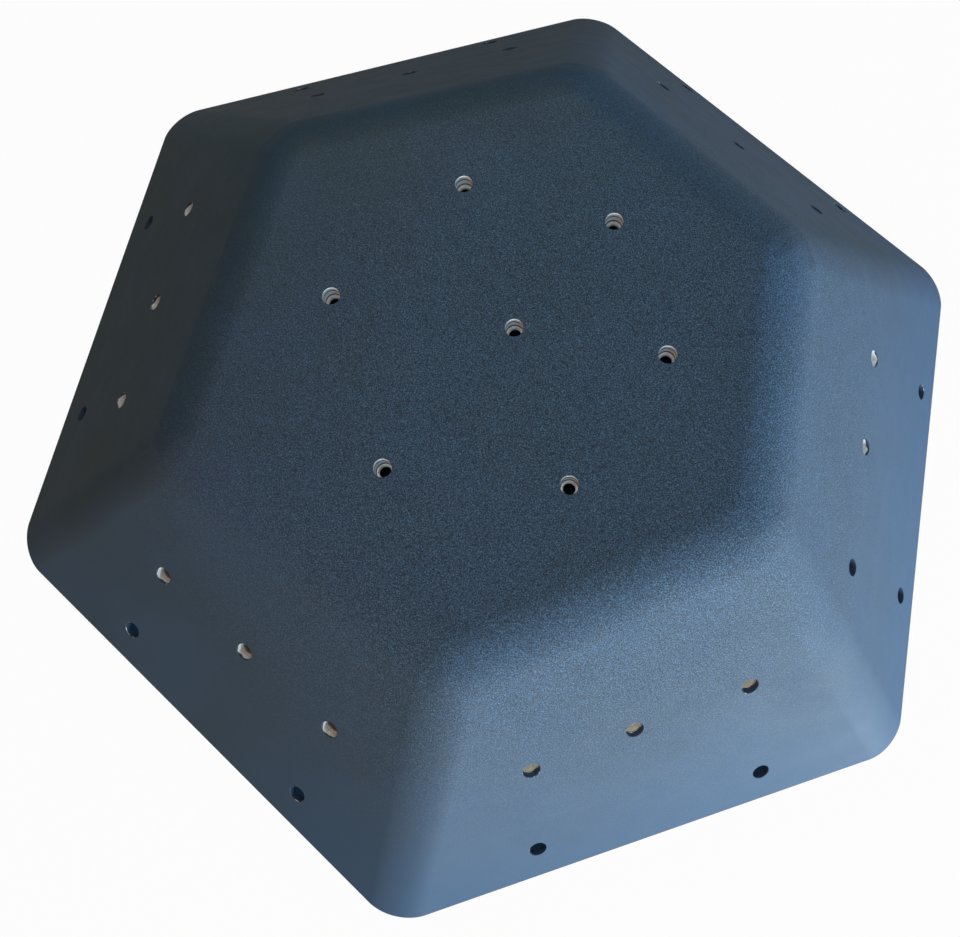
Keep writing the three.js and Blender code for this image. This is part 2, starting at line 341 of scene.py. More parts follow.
@dataclass(frozen=True)
class Overspray:
    """What lies on a hole's wall: overspray that ends in a wavy line, with filler behind it, a dark line at
    the pad's joint, and painted shade deep down in the holes.
    """

    coat: Colour = paint(27, 51, 75)
    filler: Colour = paint(224, 234, 242)
    # Colour of the dark joint line and of the painted shade just above the T-nut in the plateau's holes.
    crevice: Colour = paint(44, 46, 48)
    wave: float = 6 * MM
    wave_height: float = 5 * MM
    lip: float = 0.45 * MM
    # Brown painted shade on the deep walls of the holes in flanks B and C.
    soil: Colour = paint(84, 64, 56)
    hole_shade_from: float = 6 * MM
    joint_depth: float = 5.15 * MM
    joint_width: float = 0.7 * MM
    edge: float = 0.2 * MM
    chip_size: float = 4 * MM
    hole_shade_blend: float = 2.5 * MM
    # Depths over which the plateau holes' wall darkens above the T-nut: painted shade.
    deep_shade_from: float = 9.8 * MM
    deep_shade_full: float = 11 * MM

    def cover(self, graph: Graph, wall: Value) -> Value:
        """Lays the coat over a hole's wall, as the attribute "cut" says.

        Args:
            graph: the graph of the wall's material.
            wall: the bare wall's colour.

        Returns:
            The wall's colour with the coat and the filler on it.
        """
        point = graph.place()
        cut = graph.attribute("cut")
        depth = graph.part(cut, "X")
        wavy = (graph.noise(point, self.wave, 1.0, 0.4) - 0.5) * self.wave_height
        sprayed = graph.ramp(depth + wavy - graph.part(cut, "Y"), self.edge, -self.edge)
        plateau = graph.ramp(graph.part(cut, "Z"), 0.0, 1.0)
        soiled = graph.ramp(graph.part(cut, "Z"), 0.0, -1.0)
        chips = graph.ramp(graph.noise(point, self.chip_size, 2.0, 0.6), 0.6, 0.66) * (1.0 - plateau)
        mouth = graph.ramp(depth, self.lip, self.lip * 0.8)
        painted = sprayed.math("MAXIMUM", mouth) * (1.0 - mouth * chips * 0.8)
        filled = graph.blend(plateau * 0.7, wall, self.filler)
        off_joint = (depth - self.joint_depth).math("ABSOLUTE")
        joint = graph.ramp(off_joint, self.joint_width, self.joint_width * 0.4)
        # Painted shade: just above the T-nut the plateau holes' wall turns dark; the line at the joint is the
        # joint's own dark colour.
        painted_deep_shade = graph.ramp(depth, self.deep_shade_from, self.deep_shade_full)
        filled = graph.blend(joint.math("MAXIMUM", painted_deep_shade) * plateau * 0.85, filled, self.crevice)
        # Painted shade: deeper than about 6 mm, the walls of the holes in flanks B and C turn brown.
        dust = graph.ramp(depth + wavy * 0.4, self.hole_shade_from, self.hole_shade_from + self.hole_shade_blend)
        filled = graph.blend(dust * soiled * 0.9, filled, self.soil)
        return graph.blend(painted, filled, self.coat)


@dataclass(frozen=True)
class CutLaminate:
    """Drilled and trimmed edges of the skin, with the coat's overspray on them."""

    raw: Colour = paint(214, 217, 220)
    raw_shade: Colour = paint(178, 179, 178)
    layer: float = 0.6 * MM
    relief: float = 0.15 * MM

    def build(self) -> Material:
        """Returns the material."""
        graph = Graph.material("cut_laminate_edge")
        layers = graph.noise(graph.place(), self.layer, 1.0, 0.5)
        raw = graph.blend(graph.ramp(layers, 0.4, 0.62), self.raw, self.raw_shade)
        colour = Overspray().cover(graph, raw)
        bumps = graph.relief(layers, self.relief, 0.6)
        return graph.finish(Base_Color=colour, Roughness=0.5 + layers * 0.3, Normal=bumps)


@dataclass(frozen=True)
class BirchPlywood:
    """Thin birch plies. Their grain runs along the board and across it in turn."""

    pale: Colour = paint(230, 222, 211)
    dark: Colour = paint(206, 199, 184)
    glue: Colour = paint(150, 136, 118)
    ply: float = 1.5 * MM
    grain_width: float = 1.6 * MM
    knot_size: float = 55 * MM
    relief: float = 0.12 * MM

    def build(self) -> Material:
        """Returns the material, which reads each board's own frame from the attribute "board"."""
        graph = Graph.material("birch_plywood")
        board = graph.attribute("board")
        layer = graph.part(board, "Z") / self.ply
        level = layer.math("FRACT")
        turn = (layer * 0.5).math("FRACT").math("GREATER_THAN", 0.5)
        along = graph.noise(graph.stretch(board, (0.06, 1.0, 1.0)), self.grain_width, 3.0, 0.6)
        across = graph.noise(graph.stretch(board, (1.0, 0.06, 1.0)), self.grain_width, 3.0, 0.6)
        grain = along * turn + across * (1.0 - turn)
        glue = graph.ramp(level, 0.09, 0.03) + graph.ramp(level, 0.91, 0.97)
        wood = graph.blend(graph.ramp(grain, 0.38, 0.66) * 0.6 + turn * 0.25, self.pale, self.dark)
        knot = graph.noise(graph.stretch(board, (0.5, 1.0, 1.0)), self.knot_size, 2.0, 0.5)
        wood = graph.blend(graph.ramp(knot, 0.58, 0.75) * 0.35, wood, self.dark)
        colour = Overspray().cover(graph, graph.blend(glue * 0.6, wood, self.glue))
        bumps = graph.relief(grain, self.relief, 0.6)
        return graph.finish(Base_Color=colour, Roughness=0.66 + (grain - 0.5) * 0.2, Normal=bumps)


@dataclass(frozen=True)
class BrightZinc:
    """Zinc-plated pressed steel, with the fine marks of its press and of handling."""

    plate: Colour = paint(238, 243, 248)
    dull: Colour = paint(194, 204, 216)
    # Near black inside the threaded bore: thread oil, and painted shade where the threads trap the light.
    oil: Colour = paint(14, 16, 18)
    bore_radius: float = 5.2 * MM
    oiled_and_shaded_below: float = 9.5 * MM
    oil_and_shade_blend: float = 3 * MM
    wall: float = 0.1 * MM
    mark_size: float = 1.2 * MM
    bloom_size: float = 4 * MM
    relief: float = 0.03 * MM

    def build(self) -> Material:
        """Returns the material. The attribute "nut" holds the radius and the height over the flange."""
        graph = Graph.material("bright_zinc_plate")
        nut = graph.attribute("nut")
        inside = graph.ramp(graph.part(nut, "X"), self.bore_radius, self.bore_radius - self.wall)
        # Deep in the threaded bore the zinc turns near black: partly thread oil, partly painted shade.
        oiled_and_shaded = inside * graph.ramp(graph.part(nut, "Y"), self.oiled_and_shaded_below, self.oiled_and_shaded_below - self.oil_and_shade_blend)
        point = graph.place()
        marks = graph.noise(graph.stretch(point, (1.0, 1.0, 3.0)), self.mark_size, 3.0, 0.6)
        bloom = graph.noise(point, self.bloom_size, 2.0, 0.5)
        colour = graph.blend(graph.ramp(bloom, 0.4, 0.7) * 0.7, self.plate, self.dull)
        colour = graph.blend(oiled_and_shaded, colour, self.oil)
        rough = 0.26 + marks * 0.18 + graph.ramp(bloom, 0.5, 0.8) * 0.15
        return graph.finish(Base_Color=colour, Metallic=0.45, Roughness=rough,
                            Normal=graph.relief(marks, self.relief, 0.5))


# Modelling steps by hand tools


def deselect() -> None:
    """Leaves edit mode and selects nothing."""
    if bpy.context.object and bpy.context.object.mode == "EDIT":
        bpy.ops.object.mode_set(mode="OBJECT")
    bpy.ops.object.select_all(action="DESELECT")


def take(piece: Piece) -> None:
    """Selects one object alone and makes it the active one.

    Args:
        piece: the object.
    """
    deselect()
    piece.select_set(True)
    bpy.context.view_layer.objects.active = piece


def edit(piece: Piece, mode: str, chosen: set[int]) -> None:
    """Opens a piece in edit mode with some of its elements selected.

    Args:
        piece: the piece.
        mode: VERT, EDGE or FACE.
        chosen: the numbers of the elements to select.
    """
    take(piece)
    bpy.ops.object.mode_set(mode="EDIT")
    bpy.ops.mesh.select_mode(type=mode)
    bpy.ops.mesh.select_all(action="DESELECT")
    bpy.ops.object.mode_set(mode="OBJECT")
    items = {"VERT": piece.data.vertices, "EDGE": piece.data.edges, "FACE": piece.data.polygons}[mode]
    for item in items:
        item.select = item.index in chosen
    bpy.ops.object.mode_set(mode="EDIT")


def faces_facing(piece: Piece, way: Vector) -> set[int]:
    """Returns the numbers of the faces that face one way."""
    return {face.index for face in piece.data.polygons if face.normal.dot(way) > 0.999}


def slice_off(piece: Piece, point: Vector, away: Vector) -> None:
    """Cuts a piece by a plane, drops what lies beyond it and closes the cut.

    Args:
        piece: the piece.
        point: a point on the plane.
        away: the plane's normal, which points at what is dropped.
    """
    take(piece)
    bpy.ops.object.mode_set(mode="EDIT")
    bpy.ops.mesh.select_mode(type="FACE")
    bpy.ops.mesh.select_all(action="SELECT")
    bpy.ops.mesh.bisect(plane_co=point, plane_no=away, use_fill=True, clear_outer=True)
    deselect()


def apply_modifier(piece: Piece, kind: str, **settings: object) -> None:
    """Adds a modifier and applies it.

    Args:
        piece: the piece.
        kind: the modifier's type.
        settings: its properties.
    """
    take(piece)
    modifier = piece.modifiers.new(kind.lower(), kind)
    for name, setting in settings.items():
        setattr(modifier, name, setting)
    bpy.ops.object.modifier_apply(modifier=modifier.name)


def fix_place(piece: Piece) -> Piece:
    """Makes a piece's place, turn and scale part of its mesh.

    Args:
        piece: the piece.

    Returns:
        The same piece.
    """
    take(piece)
    bpy.ops.object.transform_apply(location=True, rotation=True, scale=True)
    return piece


def cylinder(sides: int, radius: float, height: float, centre: tuple) -> Piece:
    """Returns an upright cylinder. Its radius is that of its corners, and its centre is its middle."""
    bpy.ops.mesh.primitive_cylinder_add(vertices=sides, radius=radius, depth=height, location=centre)
    return fix_place(bpy.context.object)


def block(size: tuple, centre: tuple) -> Piece:
    """Returns a block with edges of these three lengths round its centre."""
    bpy.ops.mesh.primitive_cube_add(size=1, scale=size, location=centre)
    return fix_place(bpy.context.object)


def discard(piece: Piece) -> None:
    """Clears a piece away."""
    bpy.data.objects.remove(piece, do_unlink=True)


def copy_of(piece: Piece, name: str, place: Matrix) -> Piece:
    """Copies a piece with a mesh of its own.

    Args:
        piece: the piece to copy.
        name: the copy's name.
        place: where it goes, which becomes part of its mesh.

    Returns:
        The copy.
    """
    take(piece)
    bpy.ops.object.duplicate(linked=False)
    copy = bpy.context.object
    copy.name = name
    copy.data.name = name
    copy.matrix_world = place
    return fix_place(copy)


def spread(master: Piece, name: str, places: list[Matrix]) -> Piece:
    """Joins copies of a piece, and clears the piece itself away.

    Args:
        master: the piece to copy.
        name: what the copies are called, with a number after it.
        places: where they go.

    Returns:
        The copies as one object.
    """
    copies = [copy_of(master, f"{name}_{number}", place) for number, place in enumerate(places)]
    discard(master)
    take(copies[0])
    for copy in copies[1:]:
        copy.select_set(True)
    bpy.ops.object.join()
    return copies[0]


def combine(piece: Piece, other: Piece, operation: str) -> None:
    """Cuts a solid out of a piece (DIFFERENCE) or adds it (UNION). Its faces bring their material along."""
    apply_modifier(piece, "BOOLEAN", operation=operation, object=other, solver="EXACT",
                   material_mode="TRANSFER")
    discard(other)


def smooth(piece: Piece, angle: float = 30) -> None:
    """Shades a piece smooth, with its flats kept flat.

    Args:
        piece: the piece.
        angle: the angle in degrees from which an edge stays sharp.
    """
    take(piece)
    bpy.ops.object.shade_smooth_by_angle(angle=math.radians(angle))
    apply_modifier(piece, "WEIGHTED_NORMAL", keep_sharp=True, weight=100)


def wear(piece: Piece, *finishes: Material) -> None:
    """Gives a piece its materials.

    Args:
        piece: the piece.
        finishes: the materials, in the order of its slots.
    """
    piece.data.materials.clear()
    for finish in finishes:
        piece.data.materials.append(finish)


def mark(piece: Piece, name: str, reading: Callable[[Vector], tuple]) -> None:
    """Keeps three numbers for every point of a piece.

    Args:
        piece: the piece.
        name: the attribute that holds them, for the finishes to read.
        reading: gives the three numbers for a place.
    """
    marks = piece.data.attributes.new(name, "FLOAT_VECTOR", "POINT")
    for vertex in piece.data.vertices:
        marks.data[vertex.index].vector = reading(vertex.co)


def settle(piece: Piece, nodes: list[str]) -> None:
    """Says what a finished piece is.

    Args:
        piece: the piece.
        nodes: the frame's nodes that it stands for.
    """
    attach(piece, "root")
    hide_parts(*nodes)
    LOG.info("%s stands for %s", piece.name, ", ".join(nodes))


# The volume's form


class Flank(Enum):
    """The six flanks, each by the direction that it faces, in degrees from +X."""

    F = 0
    E = 60
    D = 120
    C = 180
    B = 240
    A = 300

    @property
    def outward(self) -> Vector:
        """The level direction that the flank faces."""
        return Vector((math.cos(math.radians(self.value)), math.sin(math.radians(self.value)), 0))

    @property
    def key(self) -> str:
        """The letter in the names of the frame's nodes."""
        return self.name.lower()

    def next(self, steps: int = 1) -> "Flank":
        """Returns the flank that many sides further, going round from E through D."""
        return Flank((self.value + 60 * steps) % 360)


@dataclass(frozen=True)
class Form:
    """The sharp outer form, before its edges are rounded."""

    rim_side: float = 420 * MM
    plateau_height: float = 172 * MM
    edge_radius: float = 60 * MM
    skin: float = 5 * MM
    flank_angle: float = math.radians(46)
    plateau_tilt: float = math.radians(7)
    rise_azimuth: float = math.radians(30)
    middle_nut_shift_share: float = -0.022

    @property
    def rim_apothem(self) -> float:
        """From the axis to the middle of a rim side."""
        return self.rim_side * math.cos(math.pi / 6)

    @property
    def plateau_normal(self) -> Vector:
        """The plateau's outward normal."""
        lean = -math.sin(self.plateau_tilt)
        level = Vector((math.cos(self.rise_azimuth), math.sin(self.rise_azimuth), 0)) * lean
        return level + UP * math.cos(self.plateau_tilt)

    @property
    def plateau_point(self) -> Vector:
        """The plateau's point on the axis."""
        return UP * self.plateau_height

    def flank_normal(self, flank: Flank) -> Vector:
        """Returns a flank's outward normal."""
        return flank.outward * math.sin(self.flank_angle) + UP * math.cos(self.flank_angle)

    def flank_frame(self, flank: Flank) -> Matrix:
        """Places a flank's own frame at the middle of its rim side.

        Args:
            flank: the flank.

        Returns:
            The frame: x sideways, y up the slope, z outward.
        """
        normal = self.flank_normal(flank)
        sideways = UP.cross(flank.outward)
        turn = Matrix((sideways, normal.cross(sideways), normal)).transposed()
        return Matrix.Translation(flank.outward * self.rim_apothem) @ turn.to_4x4()

    def plateau_frame(self) -> Matrix:
        """Returns the plateau's frame, with z outward, from its point on the axis."""
        turn = UP.rotation_difference(self.plateau_normal).to_matrix().to_4x4()
        return Matrix.Translation(self.plateau_point) @ turn

    def slope_length(self, flank: Flank) -> float:
        """Measures the way up the middle of a flank.

        Args:
            flank: the flank.

        Returns:
            The length from the rim to the plateau's sharp edge.
        """
        place = self.flank_frame(flank)
        up = place.to_3x3() @ Vector((0, 1, 0))
        gap = (self.plateau_point - place.translation).dot(self.plateau_normal)
        return gap / self.plateau_normal.dot(up)

    def on_plateau(self, x: float, y: float) -> Vector:
        """Returns the point of the plateau's plane over a point of the rim's plane."""
        normal = self.plateau_normal
        return Vector((x, y, self.plateau_height - (normal.x * x + normal.y * y) / normal.z))

    def corner(self, flank: Flank, depth: float, foot: bool = False) -> Vector:
        """Finds a corner of the form with its three faces moved inwards.

        Args:
            flank: the flank before the corner, going round from E through D.
            depth: how far the faces are moved in.
            foot: whether the third face is a level one, that far below the rim, and not the plateau.

        Returns:
            The corner, which is a point of the line that the hip's rounding turns about.
        """
        faces = [(UP, ORIGIN) if foot else (self.plateau_normal, self.plateau_point)]
        faces += [(self.flank_normal(side), side.outward * self.rim_apothem)
                  for side in (flank, flank.next())]
        reach = Vector([normal.dot(point) - depth for normal, point in faces])
        return Matrix([normal for normal, _ in faces]).inverted() @ reach


@dataclass(frozen=True)
class Drilling:
    """Where the faces are drilled: [sideways, up] as shares of half the rim's side and of the slope."""

    form: Form
    nuts: dict[Flank, tuple] = field(default_factory=lambda: {
        Flank.A: ((-0.39, 0.475), (-0.015, 0.5), (0.41, 0.52)),
        Flank.B: ((-0.415, 0.49), (-0.015, 0.5), (0.385, 0.52)),
        Flank.C: ((-0.4, 0.5), (0.005, 0.49), (0.41, 0.48)),
        Flank.D: ((-0.45, 0.385), (-0.01, 0.385), (0.38, 0.38)),
        Flank.E: ((-0.405, 0.46), (0.01, 0.405), (0.41, 0.4)),
        Flank.F: ((-0.45, 0.475), (0.005, 0.48), (0.355, 0.49)),
    })
    fixings: dict[Flank, tuple] = field(default_factory=lambda: {
        Flank.A: ((-0.43, 0.125), (0.435, 0.125)),
        Flank.B: ((-0.425, 0.15), (0.435, 0.15)),
        Flank.C: ((-0.425, 0.15), (0.435, 0.15)),
        Flank.D: ((-0.45, 0.09), (0.425, 0.115)),
        Flank.E: ((-0.45, 0.095), (0.42, 0.075)),
        Flank.F: ((-0.43, 0.1), (0.43, 0.1)),
    })
    ring: dict[Flank, float] = field(default_factory=lambda: {
        Flank.F: 0.57, Flank.E: 0.575, Flank.D: 0.605, Flank.C: 0.625, Flank.B: 0.615, Flank.A: 0.585,
    })
    spray_reach: dict[Flank, tuple] = field(default_factory=lambda: {
        Flank.A: (4.8 * MM, 4.4 * MM, 4.8 * MM),
        Flank.B: (1.2 * MM,) * 3,
        Flank.C: (1.4 * MM,) * 3,
        Flank.D: (3 * MM,) * 3,
        Flank.E: (3 * MM,) * 3,
        Flank.F: (22 * MM, 2.2 * MM, 1 * MM),
    })
    # The flanks whose holes get painted shade deep down.
    soiled: tuple[Flank, ...] = (Flank.B, Flank.C)
    plateau_spray_reach: float = -4 * MM
    fixing_spray_reach: float = 12 * MM
    fixing_height: float = 45 * MM

    def on_flank(self, flank: Flank, shares: tuple) -> list[Vector]:
        """Returns drilled places on a flank, in its own frame."""
        length = self.form.slope_length(flank)
        return [Vector((side * self.form.rim_side / 2, up * length, 0)) for side, up in shares]

    def on_plateau(self) -> list[Vector]:
        """Returns the drilled places on the plateau, in its own frame: the ring, and then the middle."""
        form = self.form
        middle = form.on_plateau(form.middle_nut_shift_share * form.rim_apothem, 0)
        places = []
        for flank, share in self.ring.items():
            ahead = form.on_plateau(middle.x + flank.outward.x, middle.y + flank.outward.y) - middle
            normal = form.flank_normal(flank)
            way = (flank.outward * form.rim_apothem - middle).dot(normal) / ahead.dot(normal)
            places.append(middle + ahead * way * share)
        inverse = form.plateau_frame().inverted()
        return [inverse @ place for place in (*places, middle)]

    def cut_at(self, point: Vector) -> Triple:
        """Says what a point in a hole has over it.

        Args:
            point: a point of a finished piece, in the shared frame.

        Returns:
            Its depth below the outer face, how deep the overspray reaches there, and the kind of hole: 1 on
            the plateau, -1 on a flank whose holes get painted shade deep down, and 0 on the other flanks.
        """
        form = self.form
        faces = [(None, form.plateau_frame())] + [(flank, form.flank_frame(flank)) for flank in Flank]
        places = [(flank, face.inverted() @ point) for flank, face in faces]
        flank, place = max(places, key=lambda pair: pair[1].z)
        if flank is None:
            return -place.z, self.plateau_spray_reach, 1.0
        kind = -float(flank in self.soiled)
        if point.z < self.fixing_height:
            return -place.z, self.fixing_spray_reach, kind
        row = self.on_flank(flank, self.nuts[flank])
        nearest = min(range(len(row)), key=lambda number: abs(row[number].x - place.x))
        return -place.z, self.spray_reach[flank][nearest], kind

    def rows(self) -> list[tuple[str, Matrix, list[Vector]]]:
        """Returns every drilled T-nut row: its name in the frame's nodes, its face's frame and its places."""
        rows = [("top", self.form.plateau_frame(), self.on_plateau())]
        for flank, shares in self.nuts.items():
            rows.append((f"side_{flank.key}", self.form.flank_frame(flank), self.on_flank(flank, shares)))
        return rows


# The skin


@dataclass
class Skin:
    """The moulded shell: a six-sided cone cut off by the plateau, rounded, hollowed and drilled."""

    form: Form
    drilling: Drilling
    hole_radius: float = 6.5 * MM
    rim_break: float = 0.35 * MM
    foot: float = 60 * MM
    overrun: float = 10 * MM
    rounding_segments: int = 20
    hole_sides: int = 48

    def build(self) -> None:
        """Builds the skin."""
        skin = self._blank()
        self._round(skin)
        self._hollow(skin)
        wear(skin, SandyCoat().build(), RawLaminate().build(), CutLaminate().build())
        for face in skin.data.polygons:
            if face.normal.z < -0.999 and abs(face.center.z) < MM:
                face.material_index = 2
        combine(skin, self._drills(), "DIFFERENCE")
        mark(skin, "cut", self.drilling.cut_at)
        smooth(skin)
        settle(skin, ["moulded_shell"])

    def _blank(self) -> Piece:
        """Returns the sharp solid form, with a foot below the rim that is cut off later."""
        form = self.form
        apothem = form.rim_apothem + self.foot / math.tan(form.flank_angle)
        height = apothem * math.tan(form.flank_angle)
        bpy.ops.mesh.primitive_cone_add(vertices=6, radius1=apothem / math.cos(math.pi / 6), radius2=0,
                                        depth=height, location=UP * (height / 2 - self.foot))
        skin = fix_place(bpy.context.object)
        skin.name = "skin"
        slice_off(skin, form.plateau_point, form.plateau_normal)
        return skin

    def _round(self, skin: Piece) -> None:
        """Rounds the hips and the plateau's edges with one ball radius.

        Args:
            skin: the sharp solid.
        """
        mesh = skin.data
        beside: dict[tuple, list[Vector]] = {}
        for face in mesh.polygons:
            for key in face.edge_keys:
                beside.setdefault(tuple(sorted(key)), []).append(face.normal.copy())
        offsets = []
        for edge in mesh.edges:
            one, other = beside[tuple(sorted(edge.vertices))]
            foot_edge = min(one.z, other.z) < -0.9
            offsets.append(0.0 if foot_edge else self.form.edge_radius * math.tan(one.angle(other) / 2))
        widest = max(offsets)
        weights = mesh.attributes.new("bevel_weight_edge", "FLOAT", "EDGE")
        for edge, offset in zip(mesh.edges, offsets):
            weights.data[edge.index].value = offset / widest
        apply_modifier(skin, "BEVEL", limit_method="WEIGHT", offset_type="OFFSET", width=widest,
                       segments=self.rounding_segments, profile=0.5)

    def _hollow(self, skin: Piece) -> None:
        """Opens the foot, gives the skin its thickness and trims it flat on the rim's plane.

        Args:
            skin: the rounded solid.
        """
        edit(skin, "FACE", faces_facing(skin, -UP))
        bpy.ops.mesh.delete(type="ONLY_FACE")
        deselect()
        apply_modifier(skin, "SOLIDIFY", thickness=self.form.skin, offset=-1, use_even_offset=True,
                       use_quality_normals=True, material_offset=1, material_offset_rim=2)
        slice_off(skin, ORIGIN, -UP)

    def _drill(self) -> Piece:
        """Returns a cutter for one hole, with z = 0 on the skin's outer face."""
        low = -self.form.skin - self.overrun
        high = -self.rim_break
        drill = cylinder(self.hole_sides, self.hole_radius, high - low, (0, 0, (high + low) / 2))
        flare = (self.hole_radius + 2 * self.rim_break) / self.hole_radius
        edit(drill, "FACE", faces_facing(drill, UP))
        bpy.ops.mesh.extrude_region_move(TRANSFORM_OT_translate={"value": (0, 0, 2 * self.rim_break)})
        bpy.ops.transform.resize(value=(flare, flare, 1))
        bpy.ops.mesh.extrude_region_move(TRANSFORM_OT_translate={"value": (0, 0, self.overrun)})
        deselect()
        return drill

    def _drills(self) -> Piece:
        """Returns one cutter for every hole in the skin."""
        rows = [(face, row) for _, face, row in self.drilling.rows()]
        for flank, shares in self.drilling.fixings.items():
            rows.append((self.form.flank_frame(flank), self.drilling.on_flank(flank, shares)))
        places = [face @ Matrix.Translation(place) for face, row in rows for place in row]
        drills = spread(self._drill(), "drill", places)
        wear(drills, bpy.data.materials["cut_laminate_edge"])
        return drills


# The plywood pads


@dataclass
class Pads:
    """The plywood pads: one hexagon behind the plateau, and a strip behind each flank."""

    form: Form
    drilling: Drilling
    thickness: float = 18 * MM
    strip_height: float = 72 * MM
    edge_margin: float = 8 * MM
    bond_gap: float = 0.3 * MM
    bore_radius: float = 6.3 * MM
    edge_break: float = 0.5 * MM
    bore_sides: int = 48
    overrun: float = 10 * MM

    @property
    def back(self) -> float:
        """How deep the pads' backs lie below the outer face."""
        return self.form.skin + self.bond_gap + self.thickness

    def build(self) -> None:
        """Builds the pads."""
        wood = BirchPlywood().build()
        for name, face, places in self.drilling.rows():
            pad = self._board(f"pad_{name}", self._outline(name, face, places))
            combine(pad, self._bores(places), "DIFFERENCE")
            mark(pad, "board", lambda point: point + UP * self.back)
            pad.matrix_world = face
            fix_place(pad)
            mark(pad, "cut", self.drilling.cut_at)
            wear(pad, wood)
            smooth(pad)
            settle(pad, [f"backing_pad_{name}"])

    def _outline(self, name: str, face: Matrix, places: list[Vector]) -> list[Vector]:
        """Draws a pad as large as the flat of its face lets it be.

        Args:
            name: the face's name in the frame's nodes.
            face: the face's frame.
            places: the T-nuts' places in that frame.

        Returns:
            The pad's corners in that frame, going round.
        """
        inverse = face.inverted()
        radius = self.form.edge_radius
        if name == "top":
            return self._inset([inverse @ self.form.corner(flank, radius) for flank in self.drilling.ring])
        flank = next(item for item in Flank if name.endswith(item.key))
        heights = [place.y for place in places]
        row = (min(heights) + max(heights)) / 2
        sides = []
        for hip, sign in ((flank.next(-1), -1), (flank, 1)):
            top = inverse @ self.form.corner(hip, radius)
            foot = inverse @ self.form.corner(hip, radius, foot=True)
            ends = []
            for height in (row - self.strip_height / 2, row + self.strip_height / 2):
                point = foot.lerp(top, (height - foot.y) / (top.y - foot.y))
                ends.append(Vector((point.x - sign * self.edge_margin, height, 0)))
            sides.append(ends)
        left, right = sides
        return [left[0], right[0], right[1], left[1]]

    def _inset(self, room: list[Vector]) -> list[Vector]:
        """Moves an outline in by the edge margin on every side.

        Args:
            room: its corners, going round.

        Returns:
            The new corners.
        """
        corners = []
        for index, corner in enumerate(room):
            before = (room[index - 1] - corner).normalized()
            after = (room[(index + 1) % len(room)] - corner).normalized()
            turn = math.sin(before.angle(after) / 2)
            inward = (before + after).normalized() * (self.edge_margin / turn)
            corners.append(Vector((corner.x + inward.x, corner.y + inward.y, 0)))
        return corners

    def _board(self, name: str, outline: list[Vector]) -> Piece:
        """Saws a board to an outline.

        Args:
            name: the board's name.
            outline: its corners, going round.

        Returns:
            The board, in its face's frame.
        """
        reach = 2 * max(corner.length for corner in outline)
        board = block((2 * reach, 2 * reach, self.thickness), (0, 0, self.thickness / 2 - self.back))
        board.name = name
        board.data.name = name
        middle = sum(outline, Vector()) / len(outline)
        for index, corner in enumerate(outline):
            along = corner - outline[index - 1]
            away = along.cross(UP).normalized()
            if away.dot(corner - middle) < 0:
                away = -away
            slice_off(board, corner, away)
        apply_modifier(board, "BEVEL", limit_method="ANGLE", width=self.edge_break, segments=2)
        return board

    def _bores(self, places: list[Vector]) -> Piece:
        """Makes the cutter for a pad's bores.

        Args:
            places: the T-nuts' places in the pad's frame.

        Returns:
            The cutter.
        """
        depth = self.thickness + 2 * self.overrun
        bore = cylinder(self.bore_sides, self.bore_radius, depth, (0, 0, self.thickness / 2 - self.back))
        return spread(bore, "bore", [Matrix.Translation((place.x, place.y, 0)) for place in places])


# The T-nuts


